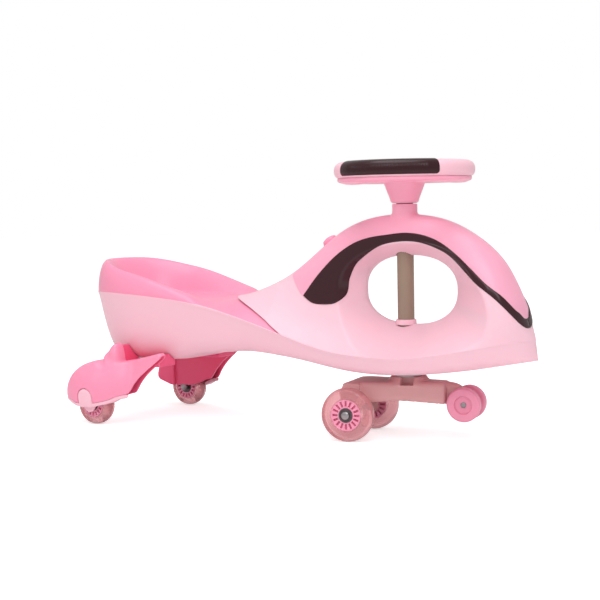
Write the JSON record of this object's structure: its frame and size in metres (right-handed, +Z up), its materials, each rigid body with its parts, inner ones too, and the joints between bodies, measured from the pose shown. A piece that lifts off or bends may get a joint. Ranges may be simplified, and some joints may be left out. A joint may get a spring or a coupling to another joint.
{
  "type": "wiggle car",
  "caption": "Child's wiggle car: a moulded body with a bucket seat and an open head, driven by swinging a steering wheel whose column turns a front bogie with rolling wheels.",
  "frame": {"origin": "on the ground, below the middle of the overall box", "axes": "+X forward along the car, +Y to the rider's left, +Z up"},
  "size_m": [0.79, 0.3, 0.4145],
  "materials": {
    "pale_shell": "glossy moulded polypropylene",
    "rose_shell": "glossy moulded polypropylene",
    "dark_trim": "high gloss",
    "dark_grip": "glossy, fine ribs",
    "column_paint": "satin",
    "bogie_plastic": "satin moulded",
    "bush_plastic": "matt",
    "cast_tyre": "translucent cast polyurethane",
    "wheel_plastic": "glossy moulded",
    "plated_steel": "zinc plated"
  },
  "bodies": {
    "chassis": {"lower_shell": "pale_shell", "upper_shell": "pale_shell", "hood": "rose_shell", "trim_band": "dark_trim", "seat": "rose_shell", "horn_bezel": "rose_shell", "upper_bush": "bush_plastic", "lower_bush": "bush_plastic", "thrust_washer": "plated_steel", "shelf_collar": "rose_shell", "body_screws": "plated_steel", "rear_cover_left": "rose_shell", "rear_cover_right": "rose_shell", "rear_fork_left": "pale_shell", "rear_fork_right": "pale_shell", "rear_axle_left": "plated_steel", "rear_axle_right": "plated_steel", "rear_spacers_left": "plated_steel", "rear_spacers_right": "plated_steel", "leg_screws": "plated_steel"},
    "steering": {"steering_wheel": "pale_shell", "wheel_base": "rose_shell", "grip_left": "dark_grip", "grip_right": "dark_grip", "hub_cap": "rose_shell", "hub_bolt": "plated_steel", "column_tube": "column_paint", "column_insert": "plated_steel", "front_bogie": "bogie_plastic", "bogie_pin": "plated_steel", "front_axle": "plated_steel", "front_washers": "plated_steel", "front_nut": "plated_steel", "safety_axle": "plated_steel", "safety_nut": "plated_steel"},
    "front_wheel_left": {"front_tyre_left": "cast_tyre", "front_hub_left": "wheel_plastic", "front_bearings_left": "plated_steel"},
    "front_wheel_right": {"front_tyre_right": "cast_tyre", "front_hub_right": "wheel_plastic", "front_bearings_right": "plated_steel"},
    "safety_roller_left": {"safety_wheel_left": "wheel_plastic"},
    "safety_roller_right": {"safety_wheel_right": "wheel_plastic"},
    "rear_wheel_left": {"rear_tyre_left": "cast_tyre", "rear_hub_left": "wheel_plastic", "rear_bearings_left": "plated_steel"},
    "rear_wheel_right": {"rear_tyre_right": "cast_tyre", "rear_hub_right": "wheel_plastic", "rear_bearings_right": "plated_steel"},
    "horn": {"horn_button": "rose_shell"}
  },
  "joints": [
    {"name": "steering_turn", "type": "hinge", "parent": "chassis", "child": "steering", "pos_m": [0.183, 0, 0.2], "axis": [0, 0, 1], "continuous": true},
    {"name": "front_left_roll", "type": "hinge", "parent": "steering", "child": "front_wheel_left", "pos_m": [0.09853, 0.04375, 0.04], "axis": [-0.2164, 0.9763, 0], "continuous": true},
    {"name": "front_right_roll", "type": "hinge", "parent": "steering", "child": "front_wheel_right", "pos_m": [0.12493, -0.07535, 0.04], "axis": [-0.2164, 0.9763, 0], "continuous": true},
    {"name": "safety_left_roll", "type": "hinge", "parent": "steering", "child": "safety_roller_left", "pos_m": [0.26816, 0.03629, 0.054], "axis": [-0.2164, 0.9763, 0], "continuous": true},
    {"name": "safety_right_roll", "type": "hinge", "parent": "steering", "child": "safety_roller_right", "pos_m": [0.27552, 0.0031, 0.054], "axis": [-0.2164, 0.9763, 0], "continuous": true},
    {"name": "rear_left_roll", "type": "hinge", "parent": "chassis", "child": "rear_wheel_left", "pos_m": [-0.329, 0.121, 0.033], "axis": [0, 1, 0], "continuous": true},
    {"name": "rear_right_roll", "type": "hinge", "parent": "chassis", "child": "rear_wheel_right", "pos_m": [-0.329, -0.121, 0.033], "axis": [0, 1, 0], "continuous": true},
    {"name": "horn_press", "type": "slide", "parent": "chassis", "child": "horn", "axis": [0.5979, 0, -0.8016], "range_m": [0, 0.0025], "stiffness_N_per_m": 400}
  ]
}
